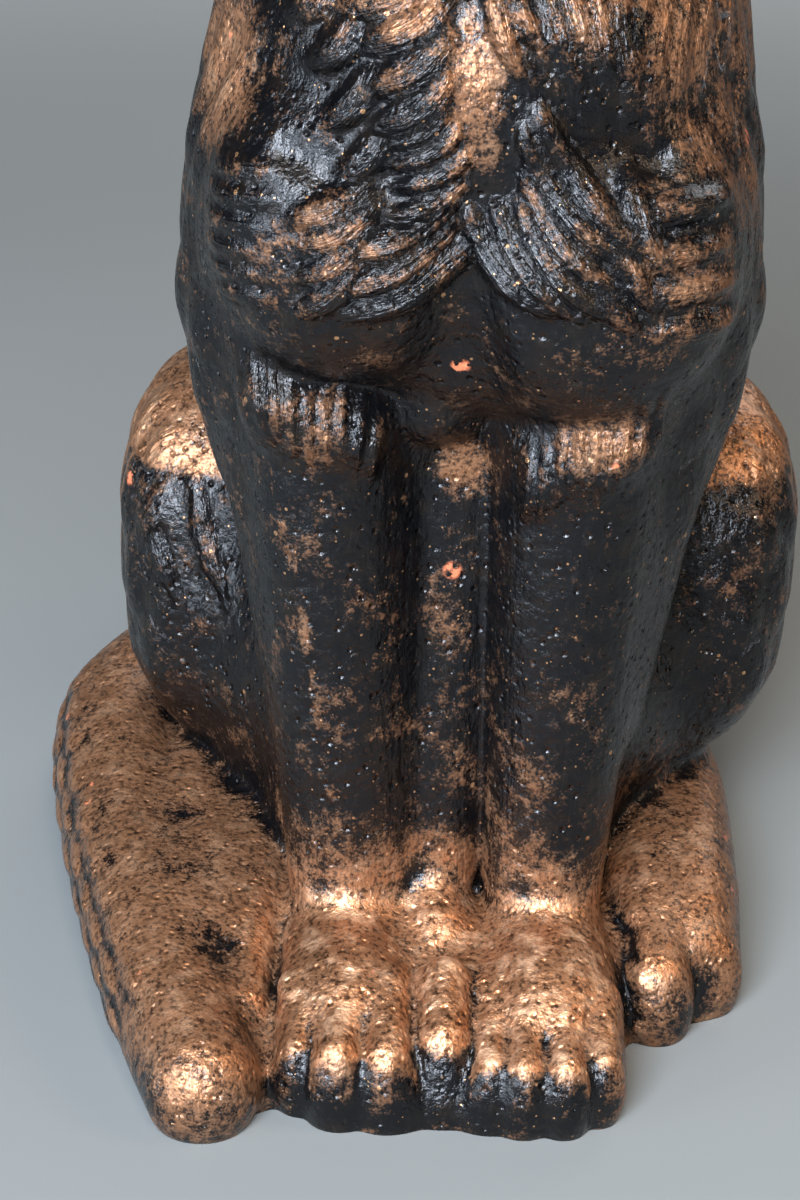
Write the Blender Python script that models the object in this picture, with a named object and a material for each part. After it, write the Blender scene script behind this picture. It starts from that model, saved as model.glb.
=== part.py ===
"""A seated long-haired cat, cast in iron in one piece as a doorstop. Metres, +Z up, it faces -Y.

The figure is drawn on a grid of squares, SQUARES of them from the floor to the ear tips.
Round masses are set out on that grid, fused into one skin and melted into each other. Rows of
fur locks are then raised on the skin, the skin is thinned out and the underside is cut flat.
"""

import math

import bmesh
import bpy
import numpy as np
from mathutils import Euler, Vector

# Driving sizes, in metres
HEIGHT = 0.222  # floor to ear tips
SKIN_VOXEL = 0.0013  # spacing of the fused skin before it is thinned out

# The drawing grid: every place, radius and width below is in squares of the figure's height
SQUARES = 222
SQUARE = HEIGHT / SQUARES

# How the skin is made
TRIANGLES = 9300  # of the thinned skin
SETTLE_ROUNDS = 5  # times the skin is smoothed and drawn back onto the melted masses
FAR = 40 * SQUARE  # depth given to points that no mass is near
MARGIN = 4 * SQUARE  # how far beyond a mass it is still looked at
LONGEST_STEP = 3 * SQUARE
SPARE_BELOW = 2 * SQUARE  # skin left under the floor until the last cut

# The casting's paint
BRONZED_IRON = (0.16, 0.085, 0.045, 1)
IRON_ROUGHNESS = 0.35
IRON_METALLIC = 0.8


class Ball:
    """An ellipsoid, or a boxier one where boxy is over 2. soft is how far it melts into the rest."""

    def __init__(self, centre, radii, turn=(0, 0, 0), soft=6, boxy=2, hollow=False):
        self.centre = np.array(centre, float) * SQUARE
        self.radii = np.array(radii, float) * SQUARE
        self.turn = np.array(Euler([math.radians(a) for a in turn]).to_matrix())
        self.soft = soft * SQUARE
        self.boxy = boxy
        self.hollow = hollow
        reach = (np.abs(self.turn) * self.radii).sum(1) + self.soft + MARGIN
        self.low, self.high = self.centre - reach, self.centre + reach

    def distance(self, points):
        share = np.abs((points - self.centre) @ self.turn) / self.radii
        reach = np.maximum((share**self.boxy).sum(1), 1e-12) ** (1 / self.boxy)
        slope = (share / reach[:, None]) ** (self.boxy - 1) / self.radii
        return (reach - 1) / np.maximum(np.linalg.norm(slope, axis=1), 1e-9)

    def add_to(self, mesh):
        made = bmesh.ops.create_icosphere(mesh, subdivisions=4, radius=1)["verts"]
        for vert in made:
            share = np.array(vert.co)
            share /= (np.abs(share) ** self.boxy).sum() ** (1 / self.boxy)
            vert.co = self.turn @ (share * self.radii) + self.centre


class Bone:
    """A round bar through joints (x, y, z, radius), stretched along the axes."""

    def __init__(self, *joints, soft=6, stretch=(1, 1, 1), hollow=False):
        self.stretch = np.array(stretch, float)
        self.places = np.array([joint[:3] for joint in joints], float) * SQUARE
        self.radii = np.array([joint[3] for joint in joints], float) * SQUARE
        self.soft = soft * SQUARE
        self.hollow = hollow
        reach = self.radii.max() * self.stretch + self.soft + MARGIN
        self.low, self.high = self.places.min(0) - reach, self.places.max(0) + reach

    def lengths(self):
        """Each stretch of bar: its two places and their radii."""
        return zip(self.places, self.places[1:], self.radii, self.radii[1:])

    def distance(self, points):
        nearest = np.full(len(points), FAR)
        for start, end, start_radius, end_radius in self.lengths():
            along = (end - start) / self.stretch
            local = (points - start) / self.stretch
            share = np.clip(local @ along / (along @ along), 0, 1)
            radius = start_radius + (end_radius - start_radius) * share
            gap = np.linalg.norm(local - share[:, None] * along, axis=1) - radius
            nearest = np.minimum(nearest, gap * self.stretch.min())
        return nearest

    def add_to(self, mesh):
        for start, end, *radii in self.lengths():
            verts = []
            for centre, radius in zip((start, end), radii):
                for way in ball_directions():
                    verts.append(mesh.verts.new(Vector(way * radius * self.stretch + centre)))
            made = bmesh.ops.convex_hull(mesh, input=verts)
            loose = made["geom_interior"] + made["geom_unused"]
            spare = {v for v in loose if isinstance(v, bmesh.types.BMVert)}
            bmesh.ops.delete(mesh, geom=list(spare), context="VERTS")


def ball_directions(rings=10, sides=20):
    """Directions all round a ball, in rings between its poles."""
    ways = [(0, 0, 1), (0, 0, -1)]
    for ring in range(1, rings):
        tilt = math.pi * ring / rings
        for side in range(sides):
            turn = 2 * math.pi * side / sides
            ways.append((math.sin(tilt) * math.cos(turn), math.sin(tilt) * math.sin(turn), math.cos(tilt)))
    return np.array(ways)


def pair(make):
    """The same mass on the cat's two sides: make(-1) is on the left as one faces the cat."""
    return [make(-1), make(1)]


def smooth_path(joints, steps=3):
    """A soft curve through the joints, as more joints."""
    path = np.array(joints, float)
    before = np.vstack([2 * path[0] - path[1], path[:-2]])
    after = np.vstack([path[2:], 2 * path[-1] - path[-2]])
    curve = []
    for a, b, c, d in zip(before, path[:-1], path[1:], after):
        for t in np.arange(steps) / steps:
            bend = (2 * a - 5 * b + 4 * c - d) + t * (3 * b - a - 3 * c + d)
            curve.append(b + t * ((c - a) + t * bend) / 2)
    return [*curve, path[-1]]


def body():
    return [
        Ball((0, 18, 36), (38, 35, 44)),
        Ball((0, 29, 38), (43, 27, 36), boxy=2.3),
        Ball((1, 8, 84), (33, 32, 62), turn=(7, 0, 0)),
        Ball((0, 2, 40), (25, 24, 62), boxy=4),
        Ball((2, 23, 14), (36, 29, 26), boxy=2.5),
        Ball((1.2, -10, 122), (33, 31, 38)),
        Ball((-25, -8, 113), (12.3, 22, 36), turn=(0, 3, 0), soft=9),
        Ball((27.6, -8, 113), (12.3, 22, 36), turn=(0, -2, 0), soft=9),
        Ball((2, -8, 147), (34, 28, 29)),
        Ball((0.5, -3, 167), (26.5, 24, 24), soft=10),
    ]


def chest():
    return [
        Ball((1, -22, 140), (29, 23, 26), soft=5),
        Ball((-14.5, -26, 120.5), (19.5, 20.5, 22.5), soft=4, boxy=2.2),
        Ball((16, -26, 116), (21, 21, 23.5), soft=4, boxy=2.2),
        Bone((-0.5, -43, 96, 9), (-0.3, -46, 115, 4), soft=3, hollow=True),
        Bone((-23, -43, 134, 2), (-12, -48, 131, 3), (-2, -49.5, 130, 2.4), soft=3, hollow=True),
        Bone((5, -48.5, 144, 2.4), (16, -46.5, 139, 3), (24, -40, 133, 2), soft=3, hollow=True),
        Ball((-0.5, -29, 104), (6, 7, 9), soft=3),
        Ball((-3.5, -27, 93), (5.5, 5.5, 5), soft=3),
    ]


def front_legs():
    return [
        Bone((-17.5, -24.5, 90, 11), (-13, -25, 20, 9), soft=2.5),
        Bone((16.8, -24.5, 90, 12), (14.4, -25, 20, 8.6), soft=2.5),
        Bone((-25.5, -13, 104, 11), (-17.5, -18, 45, 8), soft=5),
        Bone((28, -13, 104, 11.5), (20, -18, 45, 8), soft=5),
        Bone((-27, -25, 108, 5), (-23, -31, 95, 6.4), (-15, -30.5, 91, 6), soft=3),
        Bone((26, -25, 99, 6), (20, -31.5, 92, 7), (14, -30.5, 86, 6), soft=3),
        Bone((-6.5, -18, 88, 7), (-4.5, -21.5, 22, 5.8), soft=6),
        Bone((1, -18, 90, 7.4), (-0.8, -24, 20, 5.2), soft=2.5),
        Ball((-0.6, -30, 14.5), (4.6, 8, 5), soft=4),
    ]


# Front toes: place across, how far forward, radius
TOES = (
    (-19.4, -60, 3.3),
    (-13.8, -63.2, 4.3),
    (-7.2, -63.2, 4.3),
    (0.6, -60, 4.8),
    (7.2, -62.6, 3.2),
    (11.9, -64, 3.6),
    (17.4, -64, 3.7),
    (22.3, -61, 3.4),
)
TOE_TALL = 1.9  # height of a toe over its width
HIND_TOE_TALL = 1.6
TOE_LEVEL = 5  # height of the middle of its front end
TOE_ROOT = -46  # how far forward the front toes start
KNUCKLE_LEVEL = 8.8  # height of their middle there


def toe(x, front, radius, back, height, tall=TOE_TALL):
    """A toe from the arch of the paw down to its round front."""
    ends = (x, back, height, radius), (x, front + radius, TOE_LEVEL, radius)
    return Bone(*ends, soft=1, stretch=(1, 1, tall))


def front_paws():
    made = [
        Ball((-12.8, -38, 3), (10.6, 20.5, 15.5), soft=5, boxy=2.4),
        Ball((15, -38, 3), (10.8, 21, 15.5), soft=5, boxy=2.4),
        Ball((1, -37, 2), (9, 19, 12.5), soft=4, boxy=3),
    ]
    made += [toe(x, front, radius, TOE_ROOT, KNUCKLE_LEVEL) for x, front, radius in TOES]
    return made


def haunches():
    return [
        Ball((-31.8, 28, 45.5), (15.8, 25, 30), turn=(-6, -5, -8), soft=4, boxy=2.6),
        Ball((34, 28, 45), (16.3, 25, 29), turn=(-6, 6, 8), soft=4, boxy=2.6),
    ]


def hind_feet():
    return [
        Ball((33.5, 0, 5), (10.5, 34, 14), soft=2.5, boxy=3),
        Ball((-31.5, -6, 5), (11, 38, 13.5), soft=2.5, boxy=3),
        toe(31, -40.5, 5.4, -20, 9, HIND_TOE_TALL),
        toe(38.6, -33, 5, -14, 9, HIND_TOE_TALL),
        toe(-27.2, -51, 5, -26, 9, HIND_TOE_TALL),
    ]


def sole():
    """The metal near the floor that joins the toes, the feet and the haunch."""
    return [
        Ball((1.5, -50, 0), (20.5, 10.3, 5), boxy=3),
        Ball((24, -22, 0), (4.5, 20, 13), soft=2, boxy=2.5),
        Ball((-21.5, -22, 0), (4.5, 16, 15), soft=2, boxy=2.5),
        Ball((-25, -44, 0), (5, 14, 9), soft=2, boxy=2.5),
        Ball((-33, 33, 4), (14, 22, 17), soft=2, boxy=2.5),
        Ball((-38, 5, 4), (6, 22, 15), soft=2, boxy=2.5),
    ]


# The tail, from its root behind, round the left side to its tip: places and radii
TAIL = (
    (12, 34, 38, 12),
    (9, 41, 27, 12),
    (-4, 48, 14, 11.5),
    (-26, 51, 9.6, 11),
    (-42, 47.5, 9.2, 10.8),
    (-48.6, 35, 9, 10.8),
    (-48.8, 20, 8.8, 10.6),
    (-46.6, 3, 8.3, 10.2),
    (-43.2, -15, 7.8, 9.8),
    (-39.4, -33, 7, 9.2),
    (-35.2, -49, 6, 8.7),
    (-32.2, -59.5, 5, 8),
)
TAIL_TALL = 1.12  # height of the tail over its width


def tail():
    return [Bone(*smooth_path(TAIL), soft=3, stretch=(1, 1, TAIL_TALL))]


def ear(side):
    """Two edges that meet at the tip, with a back between them and a hollow in front."""
    tip = (side * 19.8, -8, 219.3, 2.1)
    return [
        Bone((side * 7.5, -13, 200, 4), tip, soft=3),
        Bone((side * 25.5, -10, 191, 4.5), tip, soft=3),
        Bone((side * 16, -6, 198, 10), (side * 19, -6.8, 211, 3.4), soft=3, stretch=(1, 0.5, 1)),
        Bone((side * 16.2, -15.4, 203.5, 3.6), (side * 18.6, -12.4, 211, 1.6), soft=2, hollow=True),
    ]


def eye(side):
    """An almond eye in its socket, with a lid above and below."""
    inner, outer = (side * 4.6, -36, 184.8, 0.8), (side * 16.8, -29.4, 187.6, 0.8)
    upper = inner, (side * 7.5, -36, 190, 1), (side * 12.8, -33.6, 191.2, 1), outer
    lower = inner, (side * 8.5, -36, 182.6, 0.8), (side * 13.6, -33, 183, 0.8), outer
    return [
        Ball((side * 10.6, -37, 187), (7, 3.2, 5.4), turn=(0, side * -8, side * 24), soft=3, hollow=True),
        Ball((side * 10.6, -29.4, 186.8), (6.2, 6.6, 5.2), turn=(0, side * -8, side * 20), soft=0.5),
        Bone(*smooth_path(upper), soft=1),
        Bone(*smooth_path(lower), soft=1),
        Bone((side * 5, -32.5, 194, 2.6), (side * 15, -27.5, 195.5, 3), soft=4),
    ]


def mouth_line(side):
    return Bone((side * 0.3, -44.4, 169.4, 0.8), (side * 8.6, -41.4, 168, 0.8), soft=0.8, hollow=True)


def head():
    return [
        Ball((0, -10, 186), (27, 25, 22)),
        *pair(lambda s: Ball((s * 16.5, -16, 174.5), (14.5, 15, 13), turn=(0, s * 20, 0), soft=6)),
        *pair(lambda s: Ball((s * 5, -37.4, 172.6), (6.6, 6.6, 5.4), soft=3)),
        Ball((0, -35, 166.6), (6.4, 6, 4.2), soft=3),
        Ball((0, -28, 170), (9, 5, 4.6), soft=1),
        Bone((0, -29, 193, 5.4), (0, -40.5, 178.5, 3.6), soft=5),
        Bone((-2.4, -42.6, 178.4, 1.5), (2.4, -42.6, 178.4, 1.5), soft=1.2),
        Bone((-2, -43, 178, 1.2), (0, -43.8, 175.6, 1.1), (2, -43, 178, 1.2), soft=1),
        *eye(-1),
        *eye(1),
        Bone((0, -44.6, 175, 0.6), (0, -44.8, 170.5, 0.6), soft=0.8, hollow=True),
        *pair(mouth_line),
        *ear(-1),
        *ear(1),
    ]


def masses():
    return [
        *body(),
        *chest(),
        *front_legs(),
        *front_paws(),
        *haunches(),
        *hind_feet(),
        *sole(),
        *tail(),
        *head(),
    ]


class View:
    """A side that fur is drawn from: the drawing's two axes, and the way the skin there faces."""

    def __init__(self, axes, facing):
        self.axes = ["xyz".index(axis) for axis in axes]
        self.facing = np.array(facing, float)


FRONT = View("xz", (0, -1, 0))
BACK = View("xz", (0, 1, 0))
LEFT = View("yz", (-1, 0, 0))
RIGHT = View("yz", (1, 0, 0))


# How locks end: the share of a lock's length that it may be shifted by, and how steep its tip is
UNEVEN = 0.12
TIP_SLOPE = 2.6


class Tier:
    """A row of fur locks between a first and a last one, each from root to tip in one view."""

    def __init__(self, view, first, last, count, width, rise, bow=0):
        self.view = view
        self.first = np.array(first, float) * SQUARE
        self.last = np.array(last, float) * SQUARE
        self.count = count
        self.width = width * SQUARE
        self.rise = rise * SQUARE
        self.bow = bow * SQUARE

    def height(self, points, outward):
        """How high the locks stand at each point."""
        return self.trace(points, outward)[0]

    def trace(self, points, outward):
        """Each point's height on the locks, and how far it is across and along its own lock."""
        height, across, along = np.zeros((3, len(points)))
        facing = np.clip(outward @ self.view.facing * 2.5 - 0.25, 0, 1)
        drawing = points[:, self.view.axes]
        ends = np.concatenate([self.first, self.last])
        low = ends.min(0) - self.width - abs(self.bow)
        high = ends.max(0) + self.width + abs(self.bow)
        near = np.flatnonzero(((drawing > low) & (drawing < high)).all(1) & (facing > 0))
        for number, share in enumerate(np.linspace(0, 1, self.count)):
            root, tip = self.first + (self.last - self.first) * share
            uneven = UNEVEN * math.sin(5 * number + 3 * self.count) * (tip - root)
            crest, aside, down = self.lock(drawing[near], root + uneven, tip + uneven)
            higher = crest > height[near]
            hit = near[higher]
            height[hit], across[hit], along[hit] = crest[higher], aside[higher], down[higher]
        return height * facing * self.rise, across, along

    def lock(self, drawing, root, tip):
        """1 on the crest of one lock, 0 beside it: it swells from the root and sinks at the tip."""
        length = np.linalg.norm(tip - root)
        way = (tip - root) / length
        local = drawing - root
        down = local @ way
        share = np.clip(down / length, 0, 1)
        aside = local[:, 0] * way[1] - local[:, 1] * way[0] - self.bow * 4 * share * (1 - share)
        half = self.width / 2 * (0.5 + 0.5 * np.sin(math.pi * share**0.8))
        crest = np.clip(1 - np.abs(aside / half) ** 1.6, 0, 1)
        return crest * share**0.5 * np.clip((1 - share) * TIP_SLOPE, 0, 1), aside, down


def fur():
    return [
        Tier(FRONT, ((-5, 159), (-19, 150)), ((-1, 147), (-12, 138)), 4, 6, 2.8, bow=-1.6),
        Tier(FRONT, ((-1.5, 146), (-10.5, 139)), ((-0.5, 131), (-11.5, 126.5)), 5, 4.4, 2.3, bow=-1.5),
        Tier(FRONT, ((-17, 157), (-24, 147)), ((-9, 140), (-16, 131)), 4, 5.6, 2.1, bow=-1),
        Tier(FRONT, ((-12, 131), (-24, 125)), ((-11, 123), (-21, 113.5)), 4, 5.4, 2.1, bow=-1),
        Tier(FRONT, ((0, 129.5), (-16, 122.5)), ((3, 125), (-16, 113)), 3, 6, 3, bow=-2),
        Tier(FRONT, ((2.2, 160), (7.5, 142.5)), ((5, 158), (11, 145)), 2, 3.8, 1.8, bow=1.4),
        Tier(FRONT, ((8, 160), (14.5, 142)), ((17, 160), (22, 140)), 4, 5.6, 1.2, bow=1),
        Tier(FRONT, ((22, 158), (21, 136)), ((36, 156), (31, 131)), 5, 5.2, 0.9, bow=1),
        Tier(FRONT, ((9.5, 140), (26, 120)), ((1.2, 126.5), (14, 112.5)), 6, 5.2, 2.9, bow=2.4),
        Tier(FRONT, ((19, 134), (27, 119)), ((15, 122), (23, 112)), 3, 4.8, 1.8, bow=1),
        Tier(FRONT, ((22, 127), (36, 126.5)), ((22, 112), (36, 110)), 4, 5, 1.8, bow=-0.8),
        Tier(FRONT, ((-24, 131), (-37, 127)), ((-25, 114), (-37, 110)), 6, 4, 0.9, bow=0.6),
        Tier(FRONT, ((-27, 103), (-25, 91)), ((-10, 95.5), (-11, 84.5)), 8, 3, 1.1, bow=0.5),
        Tier(FRONT, ((9.5, 92), (9, 79)), ((26.5, 101), (24.5, 86)), 9, 3, 1.1, bow=-0.5),
        Tier(FRONT, ((-45, 64), (-38, 43)), ((-37, 64), (-30, 42)), 2, 5, 1.2, bow=0.8),
        Tier(FRONT, ((-15, 183), (-29, 179)), ((-8, 167), (-17, 158)), 5, 6, 1.4, bow=-1.4),
        Tier(FRONT, ((15, 183), (29, 179)), ((8, 167), (17, 158)), 5, 6, 1.4, bow=1.4),
        Tier(FRONT, ((-7, 194), (-9, 206)), ((7, 194), (9, 206)), 5, 4, 1),
    ]


def coat():
    """Long plain locks in rows down the back, the sides, the haunches and the tail."""
    rows = []
    for row, top in enumerate(range(176, 60, -12)):
        shift = 4 * (row % 2)
        first = (shift - 34, top), (shift - 36, top - 20)
        last = (shift + 30, top), (shift + 32, top - 20)
        rows.append(Tier(BACK, first, last, 9, 8.6, 1.1))
    for view in (LEFT, RIGHT):
        for row, top in enumerate(range(170, 84, -12)):
            shift = 4 * (row % 2)
            first = (shift - 28, top), (shift - 23, top - 19)
            last = (shift + 14, top + 4), (shift + 20, top - 15)
            rows.append(Tier(view, first, last, 6, 8.6, 1))
        for row, top in enumerate(range(78, 32, -12)):
            shift = 4 * (row % 2)
            first = (shift + 2, top), (shift + 5, top - 17)
            last = (shift + 46, top), (shift + 40, top - 17)
            rows.append(Tier(view, first, last, 6, 8.4, 1))
    for row, level in enumerate((18, 14.5, 11, 7.5)):
        shift = 5 * (row % 2)
        first = (shift + 42, level), (shift + 29, level - 1)
        last = (shift - 40, level - 4), (shift - 52, level - 5)
        rows.append(Tier(LEFT, first, last, 9, 4.6, 0.8))
    return rows


def depth(points, figure):
    """How far points lie outside the melted figure, below 0 inside it."""
    found = np.full(len(points), FAR)
    for mass in figure:
        near = np.flatnonzero(((points > mass.low) & (points < mass.high)).all(1))
        here = found[near]
        other = mass.distance(points[near])
        melt = np.maximum(mass.soft - np.abs(here - other), 0) ** 2 / mass.soft / 4
        if mass.hollow:
            melt = np.maximum(mass.soft - np.abs(here + other), 0) ** 2 / mass.soft / 4
            found[near] = np.maximum(here, -other) + melt
        else:
            found[near] = np.minimum(here, other) - melt
    return found


def slope(points, figure, here):
    """The way out of the figure at each point."""
    step = 0.05 * SQUARE
    out = np.empty_like(points)
    for axis in range(3):
        aside = points.copy()
        aside[:, axis] += step
        out[:, axis] = (depth(aside, figure) - here) / step
    return out


def onto_surface(points, figure):
    here = depth(points, figure)
    way = slope(points, figure, here)
    size = np.maximum((way * way).sum(1), 0.05)
    return points - np.clip(here / size, -LONGEST_STEP, LONGEST_STEP)[:, None] * way


def relax(points, edges, amount=0.5):
    """Each point moved part of the way to the middle of its neighbours."""
    count = np.bincount(edges.ravel(), minlength=len(points))
    total = np.empty_like(points)
    for axis in range(3):
        ends = points[:, axis][edges[:, ::-1]]
        total[:, axis] = np.bincount(edges.ravel(), weights=ends.ravel(), minlength=len(points))
    return points + amount * (total / count[:, None] - points)


def raise_fur(points, figure):
    """The locks of all the tiers, raised along the way out of the skin."""
    way = slope(points, figure, depth(points, figure))
    outward = way / np.linalg.norm(way, axis=1)[:, None]
    height = np.zeros(len(points))
    for tier in fur() + coat():
        height = np.maximum(height, tier.height(points, outward))
    return points + outward * height[:, None]


def taken_from(obj):
    """The mesh that an object's modifiers make of it. The object itself is removed."""
    bpy.context.scene.collection.objects.link(obj)
    graph = bpy.context.evaluated_depsgraph_get()
    mesh = bpy.data.meshes.new_from_object(obj.evaluated_get(graph))
    bpy.data.objects.remove(obj)
    return mesh


def fused_skin(figure, voxel):
    """One closed mesh round all the masses."""
    shapes = bmesh.new()
    for mass in figure:
        if not mass.hollow:
            mass.add_to(shapes)
    mesh = bpy.data.meshes.new("masses")
    shapes.to_mesh(mesh)
    shapes.free()
    obj = bpy.data.objects.new("masses", mesh)
    remesh = obj.modifiers.new("fuse", "REMESH")
    remesh.mode = "VOXEL"
    remesh.voxel_size = voxel
    return taken_from(obj)


def thinned_skin(mesh):
    obj = bpy.data.objects.new("skin", mesh)
    thin = obj.modifiers.new("thin out", "DECIMATE")
    thin.ratio = TRIANGLES / sum(len(f.vertices) - 2 for f in mesh.polygons)
    thin.use_collapse_triangulate = True
    return taken_from(obj)


def read_points(mesh):
    points = np.empty(len(mesh.vertices) * 3, np.float32)
    mesh.vertices.foreach_get("co", points)
    return points.reshape(-1, 3).astype(float)


def read_edges(mesh):
    edges = np.empty(len(mesh.edges) * 2, np.int32)
    mesh.edges.foreach_get("vertices", edges)
    return edges.reshape(-1, 2)


def sculpt(voxel):
    figure = masses()
    mesh = fused_skin(figure, voxel)
    points, edges = read_points(mesh), read_edges(mesh)
    for _ in range(SETTLE_ROUNDS):
        points = onto_surface(relax(points, edges), figure)
    points = raise_fur(points, figure)
    mesh.vertices.foreach_set("co", points.astype(np.float32).ravel())
    return mesh


def cut_flat(mesh, level):
    """Everything below the level cut away, and the cut closed."""
    shape = bmesh.new()
    shape.from_mesh(mesh)
    geometry = shape.verts[:] + shape.edges[:] + shape.faces[:]
    cut = bmesh.ops.bisect_plane(
        shape, geom=geometry, plane_co=(0, 0, level), plane_no=(0, 0, 1), clear_inner=True
    )
    rim = [e for e in cut["geom_cut"] if isinstance(e, bmesh.types.BMEdge)]
    filled = bmesh.ops.holes_fill(shape, edges=rim, sides=0)
    bmesh.ops.triangulate(shape, faces=filled["faces"])
    bmesh.ops.recalc_face_normals(shape, faces=shape.faces[:])
    if shape.calc_volume(signed=True) < 0:
        bmesh.ops.reverse_faces(shape, faces=shape.faces[:])
    shape.to_mesh(mesh)
    shape.free()


def iron():
    material = bpy.data.materials.new("bronzed iron")
    material.use_nodes = True
    shader = material.node_tree.nodes["Principled BSDF"]
    shader.inputs["Base Color"].default_value = BRONZED_IRON
    shader.inputs["Roughness"].default_value = IRON_ROUGHNESS
    shader.inputs["Metallic"].default_value = IRON_METALLIC
    return material


def main():
    for obj in list(bpy.data.objects):
        bpy.data.objects.remove(obj)
    mesh = sculpt(SKIN_VOXEL)
    cut_flat(mesh, -SPARE_BELOW)
    mesh = thinned_skin(mesh)
    cut_flat(mesh, 0)
    mesh.name = "cat"
    mesh.materials.append(iron())
    mesh.shade_smooth()
    bpy.context.scene.collection.objects.link(bpy.data.objects.new("cat", mesh))


main()
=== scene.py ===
"""The looks of the cast iron cat: its coat carved finer, and its worn black and bronze paint.

Metres, +Z up, it faces -Y. The figure is drawn on a grid of squares, SQUARES of them from the floor
to the ear tips. Round masses are fused into one skin, fur is raised on it, and each point of the
skin is told how much bronze is rubbed on there and which way its hair runs.
"""

import math

import bmesh
import bpy
import numpy as np
from mathutils import Euler, Matrix, Vector


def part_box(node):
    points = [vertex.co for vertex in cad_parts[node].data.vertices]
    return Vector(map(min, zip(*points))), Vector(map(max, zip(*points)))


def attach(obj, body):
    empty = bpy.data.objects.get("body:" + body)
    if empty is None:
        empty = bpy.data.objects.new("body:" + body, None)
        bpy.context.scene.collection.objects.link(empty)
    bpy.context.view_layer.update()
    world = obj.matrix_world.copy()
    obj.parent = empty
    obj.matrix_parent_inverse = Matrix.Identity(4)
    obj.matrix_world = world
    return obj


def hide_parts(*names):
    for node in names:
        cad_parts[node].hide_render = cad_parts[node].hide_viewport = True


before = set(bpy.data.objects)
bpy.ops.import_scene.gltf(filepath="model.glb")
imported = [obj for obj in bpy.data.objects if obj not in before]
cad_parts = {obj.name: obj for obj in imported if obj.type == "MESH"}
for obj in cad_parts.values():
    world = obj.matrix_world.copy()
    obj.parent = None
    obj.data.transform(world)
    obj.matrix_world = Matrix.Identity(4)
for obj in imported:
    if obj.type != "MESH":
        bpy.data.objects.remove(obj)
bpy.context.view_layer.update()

# The drawing grid: every place, radius and width of the figure is in squares of its height
SQUARES = 222
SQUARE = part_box("cat")[1][2] / SQUARES

# How the skin is made
SKIN_VOXEL = 0.8 * SQUARE  # spacing of the fused skin before it is thinned out
TRIANGLES = 190000  # of the thinned skin
SETTLE_ROUNDS = 5  # times the skin is smoothed and drawn back onto the melted masses
FAR = 40 * SQUARE  # depth given to points that no mass is near
MARGIN = 4 * SQUARE  # how far beyond a mass it is still looked at
LONGEST_STEP = 3 * SQUARE
SPARE_BELOW = 2 * SQUARE  # skin left under the floor until the last cut


class Ball:
    """An ellipsoid, or a boxier one where boxy is over 2. soft is how far it melts into the rest."""

    def __init__(self, centre, radii, turn=(0, 0, 0), soft=6, boxy=2, hollow=False):
        self.centre = np.array(centre, float) * SQUARE
        self.radii = np.array(radii, float) * SQUARE
        self.turn = np.array(Euler([math.radians(a) for a in turn]).to_matrix())
        self.soft = soft * SQUARE
        self.boxy = boxy
        self.hollow = hollow
        reach = (np.abs(self.turn) * self.radii).sum(1) + self.soft + MARGIN
        self.low, self.high = self.centre - reach, self.centre + reach

    def distance(self, points):
        share = np.abs((points - self.centre) @ self.turn) / self.radii
        reach = np.maximum((share**self.boxy).sum(1), 1e-12) ** (1 / self.boxy)
        slope = (share / reach[:, None]) ** (self.boxy - 1) / self.radii
        return (reach - 1) / np.maximum(np.linalg.norm(slope, axis=1), 1e-9)

    def add_to(self, mesh):
        made = bmesh.ops.create_icosphere(mesh, subdivisions=4, radius=1)["verts"]
        for vert in made:
            share = np.array(vert.co)
            share /= (np.abs(share) ** self.boxy).sum() ** (1 / self.boxy)
            vert.co = self.turn @ (share * self.radii) + self.centre


class Bone:
    """A round bar through joints (x, y, z, radius), stretched along the axes."""

    def __init__(self, *joints, soft=6, stretch=(1, 1, 1), hollow=False):
        self.stretch = np.array(stretch, float)
        self.places = np.array([joint[:3] for joint in joints], float) * SQUARE
        self.radii = np.array([joint[3] for joint in joints], float) * SQUARE
        self.soft = soft * SQUARE
        self.hollow = hollow
        reach = self.radii.max() * self.stretch + self.soft + MARGIN
        self.low, self.high = self.places.min(0) - reach, self.places.max(0) + reach

    def lengths(self):
        """Each stretch of bar: its two places and their radii."""
        return zip(self.places, self.places[1:], self.radii, self.radii[1:])

    def distance(self, points):
        nearest = np.full(len(points), FAR)
        for start, end, start_radius, end_radius in self.lengths():
            along = (end - start) / self.stretch
            local = (points - start) / self.stretch
            share = np.clip(local @ along / (along @ along), 0, 1)
            radius = start_radius + (end_radius - start_radius) * share
            gap = np.linalg.norm(local - share[:, None] * along, axis=1) - radius
            nearest = np.minimum(nearest, gap * self.stretch.min())
        return nearest

    def add_to(self, mesh):
        for start, end, *radii in self.lengths():
            verts = []
            for centre, radius in zip((start, end), radii):
                for way in ball_directions():
                    verts.append(mesh.verts.new(Vector(way * radius * self.stretch + centre)))
            made = bmesh.ops.convex_hull(mesh, input=verts)
            loose = made["geom_interior"] + made["geom_unused"]
            spare = {v for v in loose if isinstance(v, bmesh.types.BMVert)}
            bmesh.ops.delete(mesh, geom=list(spare), context="VERTS")


def ball_directions(rings=10, sides=20):
    """Directions all round a ball, in rings between its poles."""
    ways = [(0, 0, 1), (0, 0, -1)]
    for ring in range(1, rings):
        tilt = math.pi * ring / rings
        for side in range(sides):
            turn = 2 * math.pi * side / sides
            ways.append((math.sin(tilt) * math.cos(turn), math.sin(tilt) * math.sin(turn), math.cos(tilt)))
    return np.array(ways)


def pair(make):
    """The same mass on the cat's two sides: make(-1) is on the left as one faces the cat."""
    return [make(-1), make(1)]


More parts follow.
